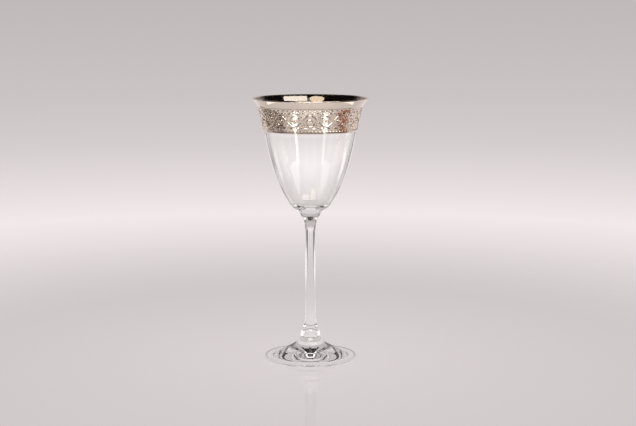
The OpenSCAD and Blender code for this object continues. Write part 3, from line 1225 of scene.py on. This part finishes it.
# %% Berries and buds
BERRY_D = 1.0 * MM
BERRY_GAP = 2.5 * MM
BERRY_STEPS = 9
PETALS = 5
PETAL_L = 1.1 * MM
PETAL_W = 0.33 * MM
PETAL_STEPS = 7
BUD_HOLE = 0.25 * MM


def berry(up, turn):
    ends = np.linspace(-0.5, 0.5, BERRY_STEPS)
    return [(BERRY_D * t, turn * up, BERRY_D * sqrt(0.25 - t * t)) for t in ends]


def petal(angle, turn):
    stations = []
    for t in np.linspace(0, 1, PETAL_STEPS):
        r = BUD_HOLE + PETAL_L * t
        stations.append((r * cos(angle), turn * (r * sin(angle) - TENDRIL_DROP), PETAL_W * sin(pi * t)))
    return stations


print("bud", round(2 * (BUD_HOLE + PETAL_L) / MM, 2), "mm across")

# %% [markdown]
# ### One half wave
#
# The scroll repeats every half wave, with the bend turned over each time. So one half wave lists all
# its shapes once, and a loop sets them round the bowl.

# %% Half wave
# Leaves along the vine: place and height above it in mm, and angle in degrees
VINE_LEAVES = [(0.8, 1.05, 10), (4.9, 3.3, 76), (6.4, 2.2, 64)]
LOW_LEAF_X = 1.5 * MM
LOW_LEAF_GAP = 1.4 * MM
LOW_LEAF_ANGLE = radians(-6)
TENDRIL_LOW = -TENDRIL_DROP - TENDRIL_R

LEAF_SPOTS = [((x * MM, vine_up(x * MM) + up * MM), radians(angle)) for x, up, angle in VINE_LEAVES]
LEAF_SPOTS.append(((LOW_LEAF_X, TENDRIL_LOW - LOW_LEAF_GAP), LOW_LEAF_ANGLE))
BERRY_SPOTS = [WAVE_SWING + BERRY_GAP, TENDRIL_LOW - BERRY_GAP]


def half_wave(turn):
    shapes = [vine(turn), tendril(turn)]
    shapes += [leaf(at, angle, side, turn) for at, angle in LEAF_SPOTS for side in (1, -1)]
    shapes += [berry(up, turn) for up in BERRY_SPOTS]
    shapes += [petal(pi / 2 + 2 * pi * k / PETALS, turn) for k in range(PETALS)]
    shapes += [dash(k) for k in range(DASHES)]
    shapes += [tip(k) for k in range(TIPS)]
    return shapes


print("shapes in one half wave:", len(half_wave(1)))

# %% [markdown]
# ### Ridges
#
# Burnished relief is round on top, so its highlights are soft lines. Each shape becomes a ridge with a
# half-round section, a point at either end and a root a hair below the ground. The crests lean down the
# bowl, because the panel is sheared as it is bent, and so catch the light from the front.

# %% Ridges of the scroll
RELIEF_T = 0.45 * MM
ROOT_DEPTH = 0.05 * MM
SECTION_STEPS = 7


def ridge_points(stations):
    """Both ends of a ridge, then its sections one after the other."""
    path = np.array([(x, up) for x, up, _ in stations])
    points = [on_frieze(*path[0], -ROOT_DEPTH), on_frieze(*path[-1], -ROOT_DEPTH)]
    for i in range(1, len(path) - 1):
        along = path[i + 1] - path[i - 1]
        across = np.array((-along[1], along[0])) / np.hypot(*along)
        for a in np.linspace(0, pi, SECTION_STEPS):
            at = path[i] + across * stations[i][2] * cos(a)
            points.append(on_frieze(*at, (RELIEF_T + ROOT_DEPTH) * sin(a) - ROOT_DEPTH))
    return points


def ridge_faces(first, sections):
    """Faces between the sections and to both ends, for points counted from first."""
    faces = []
    start = first + 2
    last = start + (sections - 1) * SECTION_STEPS
    for k in range(SECTION_STEPS):
        j = (k + 1) % SECTION_STEPS
        for low in range(start, last, SECTION_STEPS):
            high = low + SECTION_STEPS
            faces.append((low + k, high + k, high + j, low + j))
        faces.append((first, start + k, start + j))
        faces.append((first + 1, last + j, last + k))
    return faces


def scroll_mesh():
    points, faces = [], []
    for k in range(2 * WAVES):
        for shape in half_wave(1 if k % 2 == 0 else -1):
            faces += ridge_faces(len(points), len(shape) - 2)
            points += ridge_points([(x + k * WAVE_L / 2, up, w) for x, up, w in shape])
    mesh = bpy.data.meshes.new("vine_scroll")
    mesh.from_pydata(points, [], faces)
    mesh.shade_smooth()
    return mesh


scroll = add_piece("vine_scroll", scroll_mesh(), "frieze_scroll")
scroll.data.materials.append(platinum)
print("scroll", len(scroll.data.polygons), "faces")

# %% [markdown]
# ## Size
#
# The dressed glass has to stay inside the box of its solids. The box of the solids is written down.

# %% Box of the solids
print("box of the solids", cad_low[:], cad_high[:])
